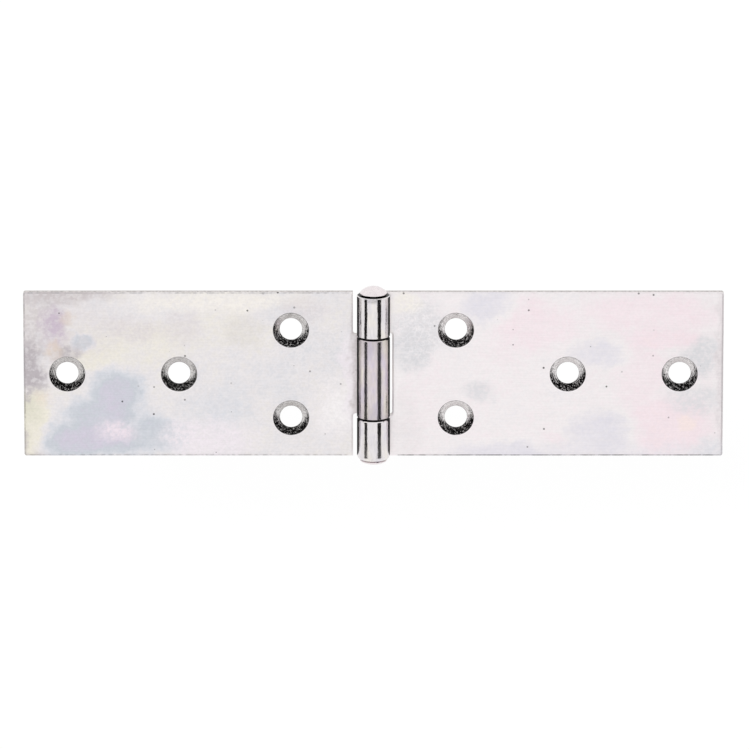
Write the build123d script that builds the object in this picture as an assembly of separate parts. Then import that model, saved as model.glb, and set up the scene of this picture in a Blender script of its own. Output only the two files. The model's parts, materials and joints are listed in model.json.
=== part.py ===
from build123d import *

import math
import os

# Table hinge, lying open and flat. Sizes are in millimetres and angles in degrees.
# X runs across the two leaves, Y along the pin with its domed head at +Y, and Z up from the plane of the
# leaves' back faces. The origin lies in that plane, under the pin and halfway along it.

# Sheet and leaves
SHEET = 1.2  # thickness of the steel sheet
LEAF_LENGTH = 70.0  # pin axis to the tip of a leaf
LEAF_HEIGHT = 34.0  # edge to edge, along the pin
TIP_CORNER = 0.5  # radius on the two corners at a leaf's tip
EDGE_ROLL = 0.35  # width of the roll-over that the shears left along a leaf's front edges
EDGE_DROP = 0.06  # how far the roll-over falls

# Pin and rolled barrel
PIN_DIAMETER = 4.1
PIN_CLEARANCE = 0.05  # between pin and knuckle, all round
MIDDLE_KNUCKLE = 16.4  # length of the left leaf's one knuckle
KNUCKLE_GAP = 0.35  # between neighbouring knuckles
SEAM_GAP = 0.15  # between the end of a roll and its own leaf
KNUCKLE_EDGE = 0.15  # bevel on the rims of the knuckles
RIVETED_EDGE = 0.9  # rounding on the lowest rim, where the pin was riveted over

# Notches that let each leaf clear the other's knuckles
LEFT_NOTCH_CLEARANCE = 0.8
RIGHT_NOTCH_CLEARANCE = 0.45
NOTCH_CORNER = 0.5

# Screw holes: a pair beside the barrel, one near the tip, and one midway between them
HOLE_DIAMETER = 4.5
SINK_DIAMETER = 7.2
SINK_DEPTH = 1.0
PAIR_TO_PIN = 16.5
PAIR_SPACING = 18.2
TIP_TO_HOLE = 8.7

# Riveted ends of the pin: a domed head at the top and a lower one at the bottom
HEAD_OVERHANG = 0.65  # how far the rim of either head stands out past the pin
HEAD_SEAT = 0.3  # width of either head's seat on the barrel
HEAD_HEIGHT = 1.8
HEAD_LIFT = 0.35  # height of the top head's rim above its seat
HEAD_SHOULDER = 0.5  # rounding of the top head above its rim
TAIL_HEIGHT = 1.1
TAIL_LIFT = 0.15  # height of the bottom head's rim above its seat
TAIL_SHOULDER = 0.35

# Sizes that follow from those
PIN_RADIUS = PIN_DIAMETER / 2
BORE_RADIUS = PIN_RADIUS + PIN_CLEARANCE
BARREL_RADIUS = BORE_RADIUS + SHEET
PIN_AXIS = Axis((0, 0, BARREL_RADIUS), (0, 1, 0))
LEAF_EDGE = LEAF_HEIGHT / 2
MIDDLE_END = MIDDLE_KNUCKLE / 2
OUTER_START = MIDDLE_END + KNUCKLE_GAP
SEAM_DROP = math.degrees(math.asin((BARREL_RADIUS - SHEET - SEAM_GAP) / BARREL_RADIUS))
ROLL_ANGLE = 270 + SEAM_DROP  # from under the pin, round it, and down to the seam


def notch(low, high, clearance):
    """Cut-out in the left leaf's outline between two places along the pin, with rounded inner corners."""
    depth = BARREL_RADIUS + clearance
    outline = Pos(-depth / 2, (low + high) / 2) * Rectangle(depth, high - low)
    inner_corners = outline.vertices().group_by(Axis.X)[0]
    return fillet(inner_corners, NOTCH_CORNER)


def screw_hole():
    """Through hole with its countersink opening upwards, standing on the leaf's back face."""
    land = SHEET - SINK_DEPTH
    through = Pos(0, 0, SHEET / 2) * Cylinder(HOLE_DIAMETER / 2, SHEET)
    sink = Pos(0, 0, land + SINK_DEPTH / 2) * Cone(HOLE_DIAMETER / 2, SINK_DIAMETER / 2, SINK_DEPTH)
    return through + sink


def hole_places():
    """Centres of the four screw holes of the left leaf."""
    tip_hole = LEAF_LENGTH - TIP_TO_HOLE
    middle_hole = (PAIR_TO_PIN + tip_hole) / 2
    pair = [Pos(-PAIR_TO_PIN, side * PAIR_SPACING / 2) for side in (-1, 1)]
    return pair + [Pos(-middle_hole, 0), Pos(-tip_hole, 0)]


def outer_corner(section, end):
    """Corner of a knuckle's section on the outside of the roll, at its low end (0) or its high end (-1)."""
    return section.vertices().group_by(Axis.Y)[0].sort_by(Axis.X)[end]


def knuckle(low, high, riveted=False):
    """Sheet rolled round the pin from the left leaf, between two places along the pin."""
    section = Pos((low + high) / 2, SHEET / 2) * Rectangle(high - low, SHEET)
    section = chamfer(outer_corner(section, -1), KNUCKLE_EDGE)
    low_corner = outer_corner(section, 0)
    section = fillet(low_corner, RIVETED_EDGE) if riveted else chamfer(low_corner, KNUCKLE_EDGE)
    return revolve(Plane.YZ * section, PIN_AXIS.reverse(), ROLL_ANGLE)


def leaf(notches, knuckles):
    """A leaf as it lies to the left of the pin: sheared outline, rolled knuckles and countersunk holes."""
    outline = Pos(-LEAF_LENGTH / 2, 0) * Rectangle(LEAF_LENGTH, LEAF_HEIGHT)
    outline = fillet(outline.vertices().group_by(Axis.X)[0], TIP_CORNER)
    for cut_out in notches:
        outline -= cut_out
    plate = extrude(outline, SHEET)
    front = plate.faces().sort_by(Axis.Z)[-1]
    neck_ends = front.edges().group_by(Axis.X)[-1]
    plate = chamfer(front.edges() - neck_ends, EDGE_ROLL, EDGE_DROP, reference=front)
    for place in hole_places():
        plate -= place * screw_hole()
    for roll in knuckles:
        plate += roll
    return plate


def left_leaf():
    """Leaf with the one middle knuckle, notched above and below it."""
    past_edge = LEAF_EDGE + 2 * NOTCH_CORNER
    notches = [
        notch(MIDDLE_END, past_edge, LEFT_NOTCH_CLEARANCE),
        notch(-past_edge, -MIDDLE_END, LEFT_NOTCH_CLEARANCE),
    ]
    return leaf(notches, [knuckle(-MIDDLE_END, MIDDLE_END)])


def right_leaf():
    """Leaf with the two outer knuckles, notched between them, mirrored to lie to the right of the pin."""
    notches = [notch(-OUTER_START, OUTER_START, RIGHT_NOTCH_CLEARANCE)]
    knuckles = [
        knuckle(OUTER_START, LEAF_EDGE),
        knuckle(-LEAF_EDGE, -OUTER_START, riveted=True),
    ]
    return mirror(leaf(notches, knuckles), Plane.YZ)


def rivet_head(height, lift, shoulder):
    """Domed head that stands along Y from its seat: a shallow crown run into a round shoulder."""
    seat = (PIN_RADIUS + HEAD_SEAT, 0)
    rim = (PIN_RADIUS + HEAD_OVERHANG, lift)
    tip = (0, height)
    reach = rim[0] - shoulder
    rise = height - lift
    crown = (reach**2 + rise**2 - shoulder**2) / (2 * (rise - shoulder))
    share = crown / (crown - shoulder)
    touch = (reach * share, height - crown + (crown - rise) * share)
    outline = [
        Polyline((0, 0), seat, rim),
        TangentArc(rim, touch, tangent=(0, 1)),
        TangentArc(tip, touch, tangent=(1, 0)),
        Line(tip, (0, 0)),
    ]
    return revolve(make_face(Curve() + outline), Axis.Y)


def hinge_pin():
    """Round pin with a domed head seated on the top knuckle and a lower one under the bottom knuckle."""
    pin = Cylinder(PIN_RADIUS, LEAF_HEIGHT, rotation=(90, 0, 0))
    pin += Pos(0, LEAF_EDGE) * rivet_head(HEAD_HEIGHT, HEAD_LIFT, HEAD_SHOULDER)
    pin += mirror(Pos(0, LEAF_EDGE) * rivet_head(TAIL_HEIGHT, TAIL_LIFT, TAIL_SHOULDER), Plane.XZ)
    return Pos(0, 0, BARREL_RADIUS) * pin


def main():
    os.makedirs("parts", exist_ok=True)
    pieces = {"left_leaf": left_leaf(), "right_leaf": right_leaf(), "hinge_pin": hinge_pin()}
    for name, piece in pieces.items():
        export_step(piece, f"parts/{name}.step")


main()
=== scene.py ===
import json
import math
from collections import namedtuple

import bpy
from mathutils import Matrix, Vector


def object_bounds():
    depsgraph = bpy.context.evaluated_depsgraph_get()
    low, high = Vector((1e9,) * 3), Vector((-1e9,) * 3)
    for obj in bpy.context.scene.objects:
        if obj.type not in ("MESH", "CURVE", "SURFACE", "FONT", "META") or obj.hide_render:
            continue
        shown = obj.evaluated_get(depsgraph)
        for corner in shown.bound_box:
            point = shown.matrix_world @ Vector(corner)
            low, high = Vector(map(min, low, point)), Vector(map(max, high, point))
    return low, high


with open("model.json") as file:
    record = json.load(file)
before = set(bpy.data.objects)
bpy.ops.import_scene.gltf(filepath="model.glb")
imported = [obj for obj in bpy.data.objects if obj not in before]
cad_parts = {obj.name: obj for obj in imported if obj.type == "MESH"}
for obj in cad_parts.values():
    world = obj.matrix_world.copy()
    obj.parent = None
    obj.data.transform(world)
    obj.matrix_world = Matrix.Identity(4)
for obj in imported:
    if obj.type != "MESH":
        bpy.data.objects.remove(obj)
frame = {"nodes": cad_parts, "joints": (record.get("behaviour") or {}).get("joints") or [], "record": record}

# Looks of the table hinge: bright zinc plate with faint clouds of colour, in a white studio.
# Lengths are in metres unless a name says otherwise. Inside the materials they are in millimetres.
cad_low, cad_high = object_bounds()

# Sizes of the hinge
MM = 0.001
SHEET_MM = 1.2
LEAF_EDGE_MM = 17.0
PIN_AXIS_MM = frame["joints"][0]["pos_m"][2] / MM
BARREL_RADIUS_MM = cad_high.z / MM - PIN_AXIS_MM
BORE_RADIUS_MM = BARREL_RADIUS_MM - SHEET_MM
HOLE_RADIUS_MM = 2.25
SINK_RADIUS_MM = 3.6

# Camera, set so that the hinge lies in the frame as it does in the photograph
IMAGE_PIXELS = 749
PIXELS_PER_MM = 4.993
PIN_PIXEL = (372.95, 371.9)
CAMERA_TILT = math.radians(15.8)
CAMERA_DISTANCE = 2.0
CAMERA_CLIP = (0.01, 10.0)
SENSOR_MM = 36.0

# Floor, which lies below the reach of the folded leaf, and lamp
FLOOR_HALF_SIZE = 3.0
FLOOR_DROP = 0.068
FLOOR_GLOW = 0.9
KEY_PLACE = (-0.25, 0.55, 0.95)
KEY_SIZE = 0.5
KEY_WATTS = 6.5

# Black cards that the metal reflects: flags overhead, keels beside the barrel and plugs over the screw holes
FLAG_DISTANCE = 0.5
FLAG_ENDS = (-0.26, -0.02)
LEFT_FLAG_ANGLES = (math.radians(44), math.radians(66))  # from straight up
RIGHT_FLAG_ANGLES = (math.radians(28), math.radians(55))
KEEL_MM = (3.36, 8.2)  # from the pin
KEEL_HALF_LENGTH_MM = 16.9
KEEL_LIFT_MM = 0.05
PLUG_MM = (0.72, 1.6)  # bottom and top, above the leaf
PLUG_RADIUS_MM = 1.6
PLUG_SIDES = 24
LEFT_PLUG_SHIFT_MM = 0.35
RIGHT_PLUG_SHIFT_MM = 0.1
REFLECTED_SHARE = 0.99  # of the white surroundings, past the black cards, in a leaf's front

# Fades between the zones of a leaf. A fade runs from whole to nothing, past the size that it belongs to
BARREL_FADE_MM = (0.05, 0.25)
BORE_FADE_MM = (0.05, 0.2)
SINK_FADE_MM = (0.0, 0.04)
SHANK_FADE_MM = (0.0, 0.05)
SINK_FLOOR_MM = (0.02, 0.06)  # above the back face, which has no countersinks
OUTLINE_MM = (1.3, 1.9)  # past the barrel, where the rolled-over outline starts
UNSHADED_FOOT_MM = (-16.0, -15.0)  # the barrel's lowest end face is not painted with shade like the others

# Facings that tell surfaces apart, as the share of the normal along one axis
END_FACING = (0.8, 0.9)
EDGE_FACING = (0.6, 0.4)
TILTED_FACING = (0.6, 0.8)
LEVEL_FACING = (0.996, 0.99)
UNDERSIDE_FACING = (-0.2, -0.4)

# Marks, dirt and painted shade
FRONT_MM = (0.3, 0.9)  # above the back face, where a leaf's front starts
BACK_SHIFT_MM = (17.0, 9.0)  # of the film's clouds on the back
BARREL_END_SHADE_MM = (3.5, 8.0)  # from the barrel's middle, where painted shade starts to darken it towards the gaps to the other knuckles
HEAD_SHADE_MM = (1.3, 0.3)  # from the upper edge
HEAD_SHADE_REACH_MM = 2.6
LOWER_SHADE_MM = (0.3, 0.15)  # from the lower edge
SINK_RIM_SHADE_MM = 0.14
HOLE_RIM_SHADE_MM = 0.12
BURNISHED_MM = (0.9, 1.05)  # above the back face, on a sheared edge
TEAR_MM = 0.5
PIT_SHIFT_MM = (97.0, 61.0, 0.0)
PITS_PER_MM = 0.32
PIT_RADIUS = (0.035, 0.085)  # as a share of the space between pits
PIT_CHANCE = (0.91, 0.92)
PIT_STRENGTH = (0.25, 0.9)

# Relief
WAVE_MM = 0.032
RIPPLE_MM = 0.008
GRAIN_MM = 0.008
PIT_MM = -0.015
RING_MM = (0.0015, 0.0045)
RING_WOBBLE_MM = 0.35
RING_RADIANS_PER_MM = 21.0
CUT_BURR_MM = 0.014
DENT_MM = 0.02

# Roughness
PLATE_ROUGHNESS = (0.31, 0.36)
EDGE_ROUGHNESS = 0.42
SINK_ROUGHNESS = 0.1
FOOT_ROUGHNESS = 0.21
FOOT_MM = 8.4  # length of the dulled foot of the barrel
PIN_ROUGHNESS = (0.22, 0.34)

# Values that noise seldom leaves
NOISE_RANGE = (0.3, 0.7)
WIDE_RANGE = (0.25, 0.75)


def screen(red, green, blue):
    """Scene-linear colour of a screen colour given as 0 to 255."""
    def channel(value):
        level = value / 255
        return level / 12.92 if level <= 0.04045 else ((level + 0.055) / 1.055) ** 2.4
    return (channel(red), channel(green), channel(blue), 1.0)


# Colours of the plating
ZINC = screen(234, 230, 231)
ZINC_WHITE = screen(243, 238, 239)
FRESH = screen(249, 246, 246)
ASH = screen(204, 196, 197)
MAUVE = screen(190, 183, 187)
ROSE_GREY = screen(221, 214, 216)
LAVENDER = screen(206, 192, 206)
HAZE = screen(213, 207, 221)
STEEL_BLUE = screen(205, 209, 216)
PALE_BLUE = screen(220, 221, 227)
ICE = screen(228, 225, 233)
FROST = screen(223, 222, 225)
LILAC = screen(240, 233, 238)
ROSE = screen(238, 227, 235)
PINK = screen(246, 231, 236)
BLUSH = screen(249, 233, 230)
PEACH = screen(228, 211, 196)
STRAW = screen(220, 218, 200)
CREAM = screen(238, 233, 221)
IVORY = screen(245, 240, 234)
SAGE = screen(222, 217, 211)

# Colours of bare, cut and dirty metal. The near-black one is dirt in the pits and, elsewhere, painted shade
CUT_STEEL = screen(215, 212, 211)
CUT_BRIGHT = screen(230, 226, 226)
BURNISHED = screen(228, 223, 221)
FRACTURED = screen(192, 186, 184)
GRIME_AND_SHADE = screen(40, 36, 35)
PIN_BRIGHT = screen(241, 233, 234)
PIN_DULL = screen(232, 224, 226)

# Colours of the studio
WHITE = (1.0, 1.0, 1.0, 1.0)
PAPER = (0.95, 0.95, 0.95, 1.0)
BLACK = (0.01, 0.01, 0.01, 1.0)

# A place where the passivation is thicker or thinner than around it, as an ellipse's middle and half-axes
Film = namedtuple("Film", "change x y width height")
FILM_RUN = 0.12  # difference in thickness over which neighbouring places run together
SPOT_FADE = (1.3, 0.4)  # shares of the half-axes between which a spot comes up to its full strength
FRAYS = ((0.12, 5.0), (0.5, 2.8))  # scale per millimetre and reach of the raggedness of spots

# A patch of its own colour over the film. A few are painted light and painted shade instead, beside the
# barrel and along the left tip
Stain = namedtuple("Stain", "colour x y width height strength")

LEFT_FILM = (
    Film(0.34, -51.4, -4, 5.6, 6),
    Film(0.34, -54.5, -8.4, 9.5, 4.4),
    Film(0.38, -56.6, -13, 12.8, 4.7),
    Film(0.29, -43.6, -12.6, 7.4, 4.8),
    Film(0.36, -58.4, 6.7, 2.4, 2),
    Film(0.12, -29.6, -6.6, 5.5, 6),
    Film(0.03, -14, -1, 14, 11),
    Film(-0.34, -69, -9.5, 4, 8),
    Film(-0.2, -57, 2.6, 7, 3.4),
    Film(-0.14, -49, 6, 16, 6.5),
    Film(-0.1, -30, 9.5, 11, 5.5),
)

LEFT_STAINS = (
    Stain(IVORY, -30, 15.2, 20, 2.6, 0.85),
    Stain(ZINC_WHITE, -8.5, -7.5, 5, 7, 0.7),
    Stain(FRESH, -7.2, -7.6, 4, 3.4, 0.5),
    Stain(ASH, -61, 16.7, 10.5, 2.6, 0.8),
    Stain(ASH, -67, 11, 6, 9, 0.55),
    Stain(ROSE_GREY, -58, 9, 7, 7, 0.35),
    Stain(ROSE_GREY, -13.5, 13.6, 4.4, 3.4, 0.5),
    Stain(ROSE_GREY, -48, 9.4, 6, 3, 0.6),
    Stain(ROSE_GREY, -38.6, 9.8, 4, 3.8, 0.5),
    Stain(SAGE, -26.2, 9.6, 3.8, 3.8, 0.5),
    Stain(MAUVE, -68.8, 1.6, 3.1, 5.4, 1.0),
    # Painted shade: a dark line along the left tip's edge
    Stain(MAUVE, -70.3, -8, 1.1, 11, 0.7),
    Stain(MAUVE, -61.5, 4.6, 3.4, 1.9, 0.75),
    Stain(ASH, -69, -16.9, 4.5, 1.6, 0.6),
    Stain(LAVENDER, -64, 9.8, 3.4, 4.2, 0.85),
    Stain(PEACH, -64, 5, 2, 1.7, 0.55),
    Stain(PEACH, -61, 11, 1.6, 2.2, 0.4),
    Stain(PEACH, -67, -4.6, 2, 2, 0.35),
    Stain(ROSE, -51.5, -11.4, 4.2, 2.8, 0.9),
    Stain(LILAC, -33.5, -13.2, 10, 4.4, 1.0),
    # Painted light: a lighter strip beside the barrel
    Stain(LILAC, -5, 0, 1.6, 9, 0.8),
    # Painted shade: a darker strip where the plate meets the barrel
    Stain(ASH, -3.2, 0, 1.5, 26, 0.7),
)

RIGHT_FILM = (
    Film(0.24, 32.2, 10.2, 10, 7),
    Film(0.24, 55, 12.6, 16, 5),
    Film(0.2, 53.6, -0.5, 7, 9),
    Film(0.3, 58, 7.6, 9, 3),
    Film(0.32, 58.8, -10.8, 10, 7),
    Film(0.5, 61.8, -10.4, 3, 2.4),
    Film(0.1, 26, 4, 8, 4),
    Film(0.2, 35.8, -14.6, 4, 2.4),
    Film(-0.24, 23.2, 13.8, 7, 4.4),
    Film(-0.22, 44.8, 4.0, 8, 3.2),
    Film(-0.24, 27.2, -15.8, 13, 3.2),
    Film(-0.24, 46.3, -12.4, 9, 5),
)

RIGHT_STAINS = (
    # Painted light: a brighter strip beside the barrel
    Stain(FRESH, 4.2, 0, 2.4, 17, 0.6),
    Stain(FROST, 9.3, 9.6, 6, 7, 0.65),
    Stain(FROST, 7.4, 4.2, 4.4, 4.6, 0.85),
    Stain(FROST, 21.3, -3.6, 3.6, 2.6, 0.75),
    Stain(FROST, 64.2, -5.6, 6, 3.4, 0.7),
    Stain(FROST, 65.8, 3.8, 3.8, 4.4, 1.0),
    Stain(IVORY, 6.2, 15.2, 3.6, 2.6, 0.9),
    Stain(ROSE_GREY, 6.6, -11, 4, 7, 0.25),
    Stain(ROSE_GREY, 70.2, 2, 1.5, 18, 0.7),
    Stain(ICE, 42, -17.5, 34, 3.4, 0.45),
    Stain(PALE_BLUE, 68, -16, 4, 3.4, 0.5),
)

# How one leaf is finished. The film's colours run from thin (0) to thick (1). The rim level, the lower-edge
# strength and the barrel's end level set painted shade
Finish = namedtuple(
    "Finish",
    "film_ground film_colours film ripple stains mottled grain rim burr cut "
    "barrel barrel_cool barrel_warm barrel_ends barrel_roughness",
)

LEFT_FINISH = Finish(
    film_ground=0.36,
    film_colours=(
        (0.0, STRAW), (0.2, CREAM), (0.36, ZINC), (0.5, PALE_BLUE),
        (0.6, STEEL_BLUE), (0.73, HAZE), (0.92, ROSE),
    ),
    film=LEFT_FILM,
    ripple=0.03,
    stains=LEFT_STAINS,
    mottled=Film(0.4, -12, 4, 9, 12),
    grain=0.035,
    rim=0.72,
    burr=0.04,
    cut=CUT_STEEL,
    barrel=screen(220, 211, 213),
    barrel_cool=screen(214, 205, 216),
    barrel_warm=screen(229, 222, 214),
    barrel_ends=0.86,
    barrel_roughness=0.17,
)

RIGHT_FINISH = Finish(
    film_ground=0.5,
    film_colours=((0.0, PALE_BLUE), (0.25, ICE), (0.5, ZINC_WHITE), (0.74, PINK), (1.0, BLUSH)),
    film=RIGHT_FILM,
    ripple=0.04,
    stains=RIGHT_STAINS,
    mottled=Film(1.0, 9, 8.5, 5, 8),
    grain=0.022,
    rim=0.94,
    burr=0.55,
    cut=CUT_BRIGHT,
    barrel=screen(231, 227, 228),
    barrel_cool=screen(225, 221, 226),
    barrel_warm=screen(236, 231, 227),
    barrel_ends=1.0,
    barrel_roughness=0.11,
)


def hole_places():
    """Centres of the screw holes, in millimetres, from the record's bolt patterns."""
    places = []
    for mount in frame["record"]["mounts"]:
        if mount["kind"] != "bolt_pattern":
            continue
        x, y = (value / MM for value in mount["pos_m"][:2])
        step_x = mount["dims"].get("spacing_x_mm", 0) / 2
        step_y = mount["dims"].get("spacing_y_mm", 0) / 2
        places += [(x - step_x, y - step_y), (x + step_x, y + step_y)]
    return places


class Graph:
    """Adds shader nodes to one node tree. Inputs are sockets or plain values."""

    def __init__(self, owner):
        owner.use_nodes = True
        self.tree = owner.node_tree
        self.tree.nodes.clear()

    def node(self, kind, **settings):
        node = self.tree.nodes.new(kind)
        for name, value in settings.items():
            setattr(node, name, value)
        return node

    def feed(self, socket, value):
        if isinstance(value, bpy.types.NodeSocket):
            self.tree.links.new(value, socket)
        else:
            socket.default_value = value

    def math(self, operation, first, second=0.0):
        node = self.node("ShaderNodeMath", operation=operation)
        self.feed(node.inputs[0], first)
        self.feed(node.inputs[1], second)
        return node.outputs[0]

    def chain(self, operation, values):
        """One operation over all the values in turn."""
        result = values[0]
        for value in values[1:]:
            result = self.math(operation, result, value)
        return result

    def add(self, *terms):
        return self.chain("ADD", terms)

    def times(self, *factors):
        return self.chain("MULTIPLY", factors)

    def largest(self, *values):
        return self.chain("MAXIMUM", values)

    def rest(self, share):
        """What a share leaves of 1."""
        return self.math("SUBTRACT", 1.0, share)

    def vectors(self, operation, first, second=(0.0, 0.0, 0.0)):
        node = self.node("ShaderNodeVectorMath", operation=operation)
        self.feed(node.inputs[0], first)
        self.feed(node.inputs[1], second)
        return node.outputs["Value" if operation == "LENGTH" else "Vector"]

    def combine(self, x=0.0, y=0.0, z=0.0):
        node = self.node("ShaderNodeCombineXYZ")
        for socket, value in zip(node.inputs, (x, y, z)):
            self.feed(socket, value)
        return node.outputs[0]

    def separate(self, vector):
        node = self.node("ShaderNodeSeparateXYZ")
        self.feed(node.inputs[0], vector)
        return node.outputs

    def step(self, value, low, high, to_low=0.0, to_high=1.0):
        """Smooth change from to_low to to_high as value goes from low to high."""
        node = self.node("ShaderNodeMapRange", interpolation_type="SMOOTHSTEP")
        for socket, number in zip(node.inputs, (value, low, high, to_low, to_high)):
            self.feed(socket, number)
        return node.outputs[0]

    def spread(self, noise, to_low, to_high, usual=NOISE_RANGE):
        """Noise stretched so that its usual values run from to_low to to_high."""
        return self.step(noise, *usual, to_low, to_high)

    def within(self, value, limit, fade):
        """1 up to the limit and the start of the fade, and 0 past the end of the fade."""
        whole, nothing = fade
        return self.step(value, limit + nothing, limit + whole)

    def near(self, value, target, reach):
        """1 where value is at the target, falling to 0 at the given reach from it."""
        return self.step(self.math("ABSOLUTE", self.math("SUBTRACT", value, target)), reach, 0.0)

    def union(self, first, second, run):
        """The larger of two values, run smoothly into each other."""
        node = self.node("ShaderNodeMath", operation="SMOOTH_MAX")
        for socket, value in zip(node.inputs, (first, second, run)):
            self.feed(socket, value)
        return node.outputs[0]

    def ramp(self, value, stops):
        """Colour at a value, from stops of position and colour."""
        node = self.node("ShaderNodeValToRGB")
        self.feed(node.inputs[0], value)
        elements = node.color_ramp.elements
        elements.remove(elements[1])
        for position, colour in stops[1:]:
            elements.new(position).color = colour
        elements[0].position, elements[0].color = stops[0]
        return node.outputs[0]

    def mix(self, factor, first, second):
        """From the first colour to the second."""
        node = self.node("ShaderNodeMix", data_type="RGBA")
        self.feed(node.inputs["Factor"], factor)
        self.feed(node.inputs[6], first)
        self.feed(node.inputs[7], second)
        return node.outputs[2]

    def shade(self, colour, level):
        """Colour made darker or lighter by a level around 1."""
        node = self.node("ShaderNodeMix", data_type="RGBA", blend_type="MULTIPLY")
        node.inputs["Factor"].default_value = 1.0
        self.feed(node.inputs[6], colour)
        self.feed(node.inputs[7], self.combine(level, level, level))
        return node.outputs[2]

    def blend(self, factor, first, second):
        """From the first number to the second."""
        node = self.node("ShaderNodeMix", data_type="FLOAT")
        self.feed(node.inputs["Factor"], factor)
        self.feed(node.inputs[2], first)
        self.feed(node.inputs[3], second)
        return node.outputs[0]

    def noise(self, place, per_mm, detail=2.0, output="Fac"):
        node = self.node("ShaderNodeTexNoise")
        self.feed(node.inputs["Vector"], place)
        node.inputs["Scale"].default_value = per_mm
        node.inputs["Detail"].default_value = detail
        return node.outputs[output]

    def stretched_noise(self, place, per_mm, detail=2.0):
        """Noise with its own scale along each axis."""
        return self.noise(self.vectors("MULTIPLY", place, per_mm), 1.0, detail)

    def coordinates(self, output):
        return self.node("ShaderNodeTexCoord").outputs[output]

    def place_mm(self):
        """Place on the hinge at rest, in millimetres."""
        return self.vectors("MULTIPLY", self.coordinates("Object"), (1 / MM,) * 3)

    def bump(self, height_mm):
        node = self.node("ShaderNodeBump")
        node.inputs["Strength"].default_value = 1.0
        node.inputs["Distance"].default_value = MM
        self.feed(node.inputs["Height"], height_mm)
        return node.outputs[0]

    def metal(self, colour, roughness, normal):
        shader = self.node("ShaderNodeBsdfPrincipled")
        shader.inputs["Metallic"].default_value = 1.0
        self.feed(shader.inputs["Base Color"], colour)
        self.feed(shader.inputs["Roughness"], roughness)
        self.feed(shader.inputs["Normal"], normal)
        self.show(shader)

    def matte(self, colour):
        shader = self.node("ShaderNodeBsdfDiffuse")
        shader.inputs["Color"].default_value = colour
        return shader

    def either(self, factor, first, second):
        """From the first shader to the second."""
        node = self.node("ShaderNodeMixShader")
        self.feed(node.inputs[0], factor)
        self.tree.links.new(first.outputs[0], node.inputs[1])
        self.tree.links.new(second.outputs[0], node.inputs[2])
        return node

    def show(self, shader):
        output = self.node("ShaderNodeOutputMaterial")
        self.tree.links.new(shader.outputs[0], output.inputs["Surface"])


# Where a point of a leaf lies, each from 0 to 1, and its distance from the nearest screw hole's axis
Zones = namedtuple("Zones", "barrel ends sink edge rolled from_hole")


def hole_distance(graph, x, y, holes):
    """Distance in millimetres from the axis of the nearest screw hole."""
    flat = graph.combine(x, y)
    distances = []
    for hole_x, hole_y in holes:
        offset = graph.vectors("SUBTRACT", flat, (hole_x, hole_y, 0.0))
        distances.append(graph.vectors("LENGTH", offset))
    return graph.chain("MINIMUM", distances)


def leaf_zones(graph, place, holes):
    """Tells the barrel, its end faces and bore, the countersinks and the sheared edges apart."""
    x, y, z = graph.separate(place)
    facing = graph.separate(graph.coordinates("Normal"))
    upward = graph.math("ABSOLUTE", facing[2])
    lengthwise = graph.math("ABSOLUTE", facing[1])
    radius = graph.vectors("LENGTH", graph.combine(x, 0.0, graph.math("SUBTRACT", z, PIN_AXIS_MM)))

    barrel = graph.within(radius, BARREL_RADIUS_MM, BARREL_FADE_MM)
    bore = graph.within(radius, BORE_RADIUS_MM, BORE_FADE_MM)
    end_faces = graph.times(barrel, graph.step(lengthwise, *END_FACING), graph.step(y, *UNSHADED_FOOT_MM))
    ends = graph.largest(end_faces, bore)
    from_hole = hole_distance(graph, x, y, holes)
    sink = graph.times(
        graph.within(from_hole, SINK_RADIUS_MM, SINK_FADE_MM),
        graph.step(z, *SINK_FLOOR_MM),
    )

    elsewhere = graph.rest(graph.largest(barrel, sink))
    edge = graph.times(elsewhere, graph.step(upward, *EDGE_FACING))
    start, end = (BARREL_RADIUS_MM + distance for distance in OUTLINE_MM)
    outline = graph.step(graph.math("ABSOLUTE", x), start, end)
    tilted = graph.times(graph.step(upward, *TILTED_FACING), graph.step(upward, *LEVEL_FACING))
    rolled = graph.times(elsewhere, tilted, outline)
    return Zones(barrel, ends, sink, edge, rolled, from_hole)


def ellipse(graph, place, spot, peak):
    """The peak value in the middle of a spot, falling to 0 a little outside it."""
    offset = graph.vectors("SUBTRACT", place, (spot.x, spot.y, 0.0))
    scaled = graph.vectors("MULTIPLY", offset, (1 / spot.width, 1 / spot.height, 0.0))
    return graph.step(graph.vectors("LENGTH", scaled), *SPOT_FADE, 0.0, peak)


def frayed_place(graph, place, front):
    """Place pushed about by noise, so that spots have ragged outlines, and shifted on a leaf's back."""
    behind = graph.rest(front)
    shift = graph.combine(*(graph.times(behind, distance) for distance in BACK_SHIFT_MM))
    frayed = graph.vectors("ADD", place, shift)
    for per_mm, reach in FRAYS:
        push = graph.vectors("SUBTRACT", graph.noise(place, per_mm, output="Color"), (0.5,) * 3)
        frayed = graph.vectors("ADD", frayed, graph.vectors("MULTIPLY", push, (reach, reach, 0.0)))
    return frayed


def film_colour(graph, place, frayed, finish):
    """Faint interference colours of the passivation, from its thickness."""
    thicker = 0.0
    thinner = 0.0
    for spot in finish.film:
        change = ellipse(graph, frayed, spot, abs(spot.change))
        if spot.change > 0:
            thicker = graph.union(thicker, change, FILM_RUN)
        else:
            thinner = graph.union(thinner, change, FILM_RUN)
    drift = graph.spread(graph.noise(place, per_mm=0.13), -0.04, 0.04, WIDE_RANGE)
    fine = graph.noise(place, per_mm=0.9, detail=3.0)
    ripple = graph.spread(fine, -finish.ripple, finish.ripple, WIDE_RANGE)
    thickness = graph.add(finish.film_ground, thicker, graph.times(thinner, -1.0), drift, ripple)
    return graph.ramp(thickness, finish.film_colours)


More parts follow.
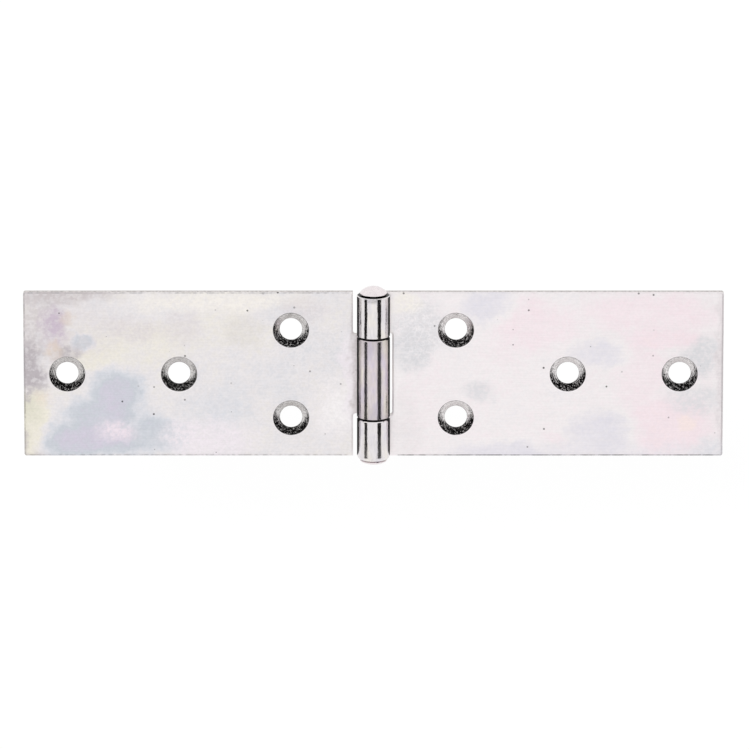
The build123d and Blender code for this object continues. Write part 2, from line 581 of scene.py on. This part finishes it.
def plate_colour(graph, place, finish):
    """Plating with its film and stains, a fine grain, faint rolling marks and a mottled patch."""
    front = graph.step(graph.separate(place)[2], *FRONT_MM)
    frayed = frayed_place(graph, place, front)
    colour = film_colour(graph, place, frayed, finish)
    uneven = graph.noise(place, per_mm=1.2, detail=4.0)
    cover = graph.times(front, graph.step(uneven, 0.36, 0.6, 0.55, 1.1))
    for stain in finish.stains:
        share = graph.times(ellipse(graph, frayed, stain, stain.strength), cover)
        colour = graph.mix(share, colour, stain.colour)

    grain = graph.noise(place, per_mm=2.2, detail=3.0)
    rolling_marks = graph.stretched_noise(place, per_mm=(0.16, 5.0, 1.0))
    veins = graph.noise(place, per_mm=0.9, detail=3.0)
    from_vein = graph.math("ABSOLUTE", graph.math("SUBTRACT", veins, 0.5))
    mottled = ellipse(graph, frayed, finish.mottled, finish.mottled.change)
    level = graph.add(
        1.0 / REFLECTED_SHARE,
        graph.spread(grain, -finish.grain, finish.grain, WIDE_RANGE),
        graph.spread(rolling_marks, 0.012, -0.02),
        graph.times(graph.step(from_vein, 0.0, 0.07, 0.06, -0.03), mottled),
    )
    return graph.shade(colour, level)


def barrel_colour(graph, place, finish):
    """Bright rolled sheet with cooler and warmer patches, and painted shade below the pin's head."""
    x, y = graph.separate(place)[:2]
    patches = graph.stretched_noise(place, per_mm=(0.5, 0.18, 0.5), detail=3.0)
    colour = graph.mix(graph.step(patches, 0.5, 0.65), finish.barrel, finish.barrel_cool)
    colour = graph.mix(graph.step(patches, 0.48, 0.36), colour, finish.barrel_warm)
    streaks = graph.stretched_noise(place, per_mm=(2.5, 0.5, 2.5), detail=3.0)
    colour = graph.shade(colour, graph.spread(streaks, 0.95, 1.03))
    from_middle = graph.math("ABSOLUTE", y)
    # Painted shade: the middle knuckle turns darker towards both ends, beside the gaps between knuckles
    colour = graph.shade(colour, graph.step(from_middle, *BARREL_END_SHADE_MM, 1.0, finish.barrel_ends))

    # Painted shade on the barrel just below the pin's head, patchy with noise
    start, end = (LEAF_EDGE_MM - distance for distance in HEAD_SHADE_MM)
    head_shade_mask = graph.times(graph.step(y, start, end), graph.near(x, 0.0, HEAD_SHADE_REACH_MM))
    head_shade_patchiness = graph.step(graph.noise(place, per_mm=0.9, detail=3.0), 0.35, 0.6, 0.05, 0.5)
    return graph.mix(graph.times(head_shade_mask, head_shade_patchiness), colour, GRIME_AND_SHADE)


def sink_colour(graph, place, from_hole, cut):
    """Cut steel, speckled, with painted shade as a thin dark line at both rims of the countersink."""
    speckle = graph.noise(place, per_mm=3.5, detail=3.0)
    colour = graph.shade(cut, graph.spread(speckle, 0.88, 1.04))
    # Painted shade: thin dark lines at the outer and inner rims of each countersink
    outer_rim_shade = graph.times(graph.near(from_hole, SINK_RADIUS_MM, SINK_RIM_SHADE_MM), 0.55)
    inner_rim_shade = graph.times(graph.near(from_hole, HOLE_RADIUS_MM, HOLE_RIM_SHADE_MM), 0.4)
    return graph.mix(inner_rim_shade, graph.mix(outer_rim_shade, colour, GRIME_AND_SHADE), GRIME_AND_SHADE)


def edge_colour(graph, place):
    """Sheared edge: burnished near the front, torn and dull below it."""
    tears = graph.stretched_noise(place, per_mm=(2.0, 2.0, 0.5), detail=3.0)
    height = graph.add(graph.separate(place)[2], graph.times(tears, TEAR_MM))
    colour = graph.mix(graph.step(height, *BURNISHED_MM), FRACTURED, BURNISHED)
    return graph.shade(colour, graph.spread(tears, 0.8, 1.06))


def lower_edge_shade(graph, place, rolled, strength):
    """Share of painted shade along a leaf's lower edge, patchy with noise."""
    start, end = (distance - LEAF_EDGE_MM for distance in LOWER_SHADE_MM)
    rim = graph.step(graph.separate(place)[1], start, end)
    patches = graph.step(graph.noise(place, per_mm=0.8, detail=3.0), 0.35, 0.62, 0.5, 1.3)
    return graph.times(rim, rolled, patches, strength)


def pits(graph, place):
    """Sparse small pits in the plating, from 0 to 1."""
    cells = graph.node("ShaderNodeTexVoronoi", voronoi_dimensions="2D")
    graph.feed(cells.inputs["Vector"], graph.vectors("ADD", place, PIT_SHIFT_MM))
    cells.inputs["Scale"].default_value = PITS_PER_MM
    chance, size, strength = graph.separate(cells.outputs["Color"])
    radius = graph.step(size, 0.0, 1.0, *PIT_RADIUS)
    pit = graph.step(graph.math("DIVIDE", cells.outputs["Distance"], radius), 1.0, 0.5)
    return graph.times(graph.step(chance, *PIT_CHANCE), pit, graph.step(strength, 0.0, 1.0, *PIT_STRENGTH))


def sheet_colour(graph, place, finish, zones, pitted):
    """The colour of each zone of a leaf, with its pits and their dirt, and painted shade on the rolled
    outline, the lower edge, the knuckles' end faces and the bore.
    """
    # Painted shade along the rolled-over outline, patchy with noise; the rim level sets how dark
    rim_shade = graph.spread(graph.noise(place, per_mm=1.2, detail=3.0), finish.rim, 1.0)
    colour = plate_colour(graph, place, finish)
    colour = graph.shade(colour, graph.blend(zones.rolled, 1.0, rim_shade))
    colour = graph.mix(zones.barrel, colour, barrel_colour(graph, place, finish))
    colour = graph.mix(pitted, colour, GRIME_AND_SHADE)
    # Painted shade along the lower edge of the rolled-over outline
    colour = graph.mix(lower_edge_shade(graph, place, zones.rolled, finish.burr), colour, GRIME_AND_SHADE)
    colour = graph.mix(zones.edge, colour, edge_colour(graph, place))
    colour = graph.mix(zones.sink, colour, sink_colour(graph, place, zones.from_hole, finish.cut))
    # End faces of the knuckles and the bore painted near black: painted shade in the gaps between knuckles
    # and inside the barrel
    return graph.mix(zones.ends, colour, GRIME_AND_SHADE)


def sheet_roughness(graph, place, finish, zones):
    """Satin plate, shiny countersinks, dull edges, and a barrel that is duller at its foot."""
    roughness = graph.spread(graph.noise(place, per_mm=0.2), *PLATE_ROUGHNESS)
    along = graph.separate(place)[1]
    foot = -LEAF_EDGE_MM
    barrel = graph.step(along, foot, foot + FOOT_MM, FOOT_ROUGHNESS, finish.barrel_roughness)
    roughness = graph.blend(zones.barrel, roughness, barrel)
    roughness = graph.blend(zones.sink, roughness, SINK_ROUGHNESS)
    dull = graph.largest(zones.edge, zones.rolled, zones.ends)
    return graph.blend(dull, roughness, EDGE_ROUGHNESS)


def sheet_relief(graph, place, zones, pitted):
    """Height of the cut marks in the countersinks, the barrel's waves, the grain and the pits."""
    wobble = graph.times(graph.noise(place, per_mm=1.3), RING_WOBBLE_MM)
    rings = graph.math("SINE", graph.times(graph.add(zones.from_hole, wobble), RING_RADIANS_PER_MM))
    arcs = graph.times(rings, graph.step(graph.noise(place, per_mm=0.9), 0.45, 0.62, *RING_MM))
    burrs = graph.step(graph.noise(place, per_mm=3.4), 0.54, 0.7, 0.0, CUT_BURR_MM)
    cut_marks = graph.times(graph.add(arcs, burrs), zones.sink)

    waves = graph.times(graph.stretched_noise(place, per_mm=(0.7, 0.3, 0.7)), WAVE_MM)
    ripples = graph.times(graph.noise(place, per_mm=2.0), RIPPLE_MM)
    rolling = graph.times(graph.add(waves, ripples), zones.barrel)
    grain = graph.times(graph.noise(place, per_mm=1.6, detail=4.0), GRAIN_MM)
    return graph.add(cut_marks, rolling, grain, graph.times(pitted, PIT_MM))


def zinc_sheet(name, finish, holes):
    """Zinc-plated sheet: clouded leaf, bright knuckles, cut countersinks and sheared edges."""
    material = bpy.data.materials.new(name)
    graph = Graph(material)
    place = graph.place_mm()
    zones = leaf_zones(graph, place, holes)
    pitted = pits(graph, place)
    colour = sheet_colour(graph, place, finish, zones, pitted)
    roughness = sheet_roughness(graph, place, finish, zones)
    graph.metal(colour, roughness, graph.bump(sheet_relief(graph, place, zones, pitted)))
    return material


def riveted_zinc(name):
    """Zinc-plated pin: bright domed ends, and painted shade, near black, on its shank and under the top
    head.
    """
    material = bpy.data.materials.new(name)
    graph = Graph(material)
    place = graph.place_mm()
    along = graph.separate(place)[1]
    facing = graph.separate(graph.coordinates("Normal"))[1]
    shank_shade = graph.within(graph.math("ABSOLUTE", along), LEAF_EDGE_MM, SHANK_FADE_MM)
    underside_shade = graph.times(graph.step(along, 0.0, 1.0), graph.step(facing, *UNDERSIDE_FACING))

    mottle = graph.noise(place, per_mm=1.4, detail=4.0)
    colour = graph.mix(graph.step(mottle, 0.35, 0.65), PIN_DULL, PIN_BRIGHT)
    # Painted shade: the shank inside the barrel and the underside of the top head are near black
    colour = graph.mix(graph.largest(shank_shade, underside_shade), colour, GRIME_AND_SHADE)
    roughness = graph.spread(mottle, *PIN_ROUGHNESS)
    dents = graph.times(graph.noise(place, per_mm=0.8), DENT_MM)
    graph.metal(colour, roughness, graph.bump(dents))
    return material


def floor_paper(name):
    """White paper that glows where it is looked at, and still takes the hinge's shadow."""
    material = bpy.data.materials.new(name)
    graph = Graph(material)
    rays = graph.node("ShaderNodeLightPath").outputs
    looked_at = graph.largest(rays["Is Camera Ray"], rays["Is Glossy Ray"], rays["Is Transmission Ray"])
    glow = graph.node("ShaderNodeEmission")
    graph.show(graph.either(graph.times(looked_at, FLOOR_GLOW), graph.matte(PAPER), glow))
    return material


def black_card(name):
    """Black studio card, which metal reflects."""
    material = bpy.data.materials.new(name)
    graph = Graph(material)
    graph.show(graph.matte(BLACK))
    return material


def one_sided_card(name):
    """Black card that is clear when looked at from behind."""
    material = bpy.data.materials.new(name)
    graph = Graph(material)
    from_behind = graph.node("ShaderNodeNewGeometry").outputs["Backfacing"]
    clear = graph.node("ShaderNodeBsdfTransparent")
    graph.show(graph.either(from_behind, graph.matte(BLACK), clear))
    return material


def stage_mesh(name, corners, faces, material):
    """A plain stage object from its corners and faces."""
    mesh = bpy.data.meshes.new(name)
    mesh.from_pydata(corners, [], faces)
    mesh.materials.append(material)
    stage = bpy.data.objects.new(name, mesh)
    bpy.context.scene.collection.objects.link(stage)
    return stage


def stage_rectangle(name, low, high, height, material):
    """A level stage object that faces up, between two corners in x and y."""
    outline = [low, (high[0], low[1]), high, (low[0], high[1])]
    corners = [(x, y, height) for x, y in outline]
    return stage_mesh(name, corners, [(0, 1, 2, 3)], material)


def reflect_only(card):
    """Leaves a card to reflections, so that it is not seen and throws no shadow."""
    card.visible_camera = False
    card.visible_diffuse = False
    card.visible_shadow = False


def lay_floor():
    """Wide paper floor below the hinge."""
    size = FLOOR_HALF_SIZE
    stage_rectangle("floor", (-size, -size), (size, size), -FLOOR_DROP, floor_paper("floor_paper"))


def hang_flags(material):
    """Two black cards overhead, one to each side, which draw the dark lines along the barrel."""
    for name, side, angles in (("left_flag", -1, LEFT_FLAG_ANGLES), ("right_flag", 1, RIGHT_FLAG_ANGLES)):
        corners = []
        for angle in angles:
            x = side * FLAG_DISTANCE * math.sin(angle)
            z = FLAG_DISTANCE * math.cos(angle)
            corners += [(x, y, z) for y in FLAG_ENDS]
        reflect_only(stage_mesh(name, corners, [(0, 1, 3, 2)], material))


def plug_shape(middle_x, middle_y):
    """Corners and faces of a plug with a closed bottom, from its middle in millimetres."""
    corners = []
    for height in PLUG_MM:
        for side in range(PLUG_SIDES):
            turn = 2 * math.pi * side / PLUG_SIDES
            x = middle_x + PLUG_RADIUS_MM * math.cos(turn)
            y = middle_y + PLUG_RADIUS_MM * math.sin(turn)
            corners.append((x * MM, y * MM, (SHEET_MM + height) * MM))
    faces = [tuple(range(PLUG_SIDES))]
    for side in range(PLUG_SIDES):
        following = (side + 1) % PLUG_SIDES
        faces.append((side, following, following + PLUG_SIDES, side + PLUG_SIDES))
    return corners, faces


def hover_plugs(holes, material):
    """Black plugs over the screw holes, a little to the right of them, which darken the countersinks."""
    for number, (hole_x, hole_y) in enumerate(holes, 1):
        shift = LEFT_PLUG_SHIFT_MM if hole_x < 0 else RIGHT_PLUG_SHIFT_MM
        corners, faces = plug_shape(hole_x + shift, hole_y)
        reflect_only(stage_mesh(f"plug_{number}", corners, faces, material))


def lay_keels(material):
    """Two narrow cards along the barrel, which darken its outlines and are clear from below."""
    near, far = (distance * MM for distance in KEEL_MM)
    reach = KEEL_HALF_LENGTH_MM * MM
    height = (SHEET_MM + KEEL_LIFT_MM) * MM
    for name, low, high in (("left_keel", -far, -near), ("right_keel", near, far)):
        reflect_only(stage_rectangle(name, (low, -reach), (high, reach), height, material))


def light_studio():
    """White surroundings of strength 1, with one soft lamp for the shadow."""
    world = bpy.data.worlds.new("white_studio")
    bpy.context.scene.world = world
    graph = Graph(world)
    background = graph.node("ShaderNodeBackground")
    output = graph.node("ShaderNodeOutputWorld")
    graph.tree.links.new(background.outputs[0], output.inputs["Surface"])
    background.inputs["Color"].default_value = WHITE
    background.inputs["Strength"].default_value = 1.0

    lamp = bpy.data.lights.new("key", "AREA")
    lamp.size = KEY_SIZE
    lamp.energy = KEY_WATTS
    key = bpy.data.objects.new("key", lamp)
    key.location = KEY_PLACE
    key.rotation_mode = "QUATERNION"
    key.rotation_quaternion = Vector(KEY_PLACE).to_track_quat("Z", "Y")
    key.visible_glossy = False
    bpy.context.scene.collection.objects.link(key)


def place_camera():
    """Camera above the front, leaning towards the pin's head, with the pin upright in the picture."""
    data = bpy.data.cameras.new("camera")
    data.sensor_width = SENSOR_MM
    data.lens = SENSOR_MM * PIXELS_PER_MM / MM * CAMERA_DISTANCE / IMAGE_PIXELS
    data.clip_start, data.clip_end = CAMERA_CLIP
    camera = bpy.data.objects.new("camera", data)
    bpy.context.scene.collection.objects.link(camera)
    back = Vector((0, math.sin(CAMERA_TILT), math.cos(CAMERA_TILT)))
    up = Vector((0, math.cos(CAMERA_TILT), -math.sin(CAMERA_TILT)))
    right = up.cross(back)
    middle = (IMAGE_PIXELS - 1) / 2
    aside = right * (middle - PIN_PIXEL[0]) + up * (PIN_PIXEL[1] - middle)
    axes = Matrix((right, up, back)).transposed().to_4x4()
    camera.matrix_world = Matrix.Translation(back * CAMERA_DISTANCE + aside * MM / PIXELS_PER_MM) @ axes
    bpy.context.scene.camera = camera


def dress(node, material):
    """Gives a CAD node its finish."""
    materials = frame["nodes"][node].data.materials
    materials.clear()
    materials.append(material)


bpy.context.scene.view_settings.view_transform = "Standard"
holes = hole_places()
dress("left_leaf", zinc_sheet("left_zinc", LEFT_FINISH, [hole for hole in holes if hole[0] < 0]))
dress("right_leaf", zinc_sheet("right_zinc", RIGHT_FINISH, [hole for hole in holes if hole[0] > 0]))
dress("hinge_pin", riveted_zinc("pin_zinc"))
lay_floor()
card = black_card("black_card")
hang_flags(card)
hover_plugs(holes, card)
lay_keels(one_sided_card("keel_card"))
light_studio()
place_camera()
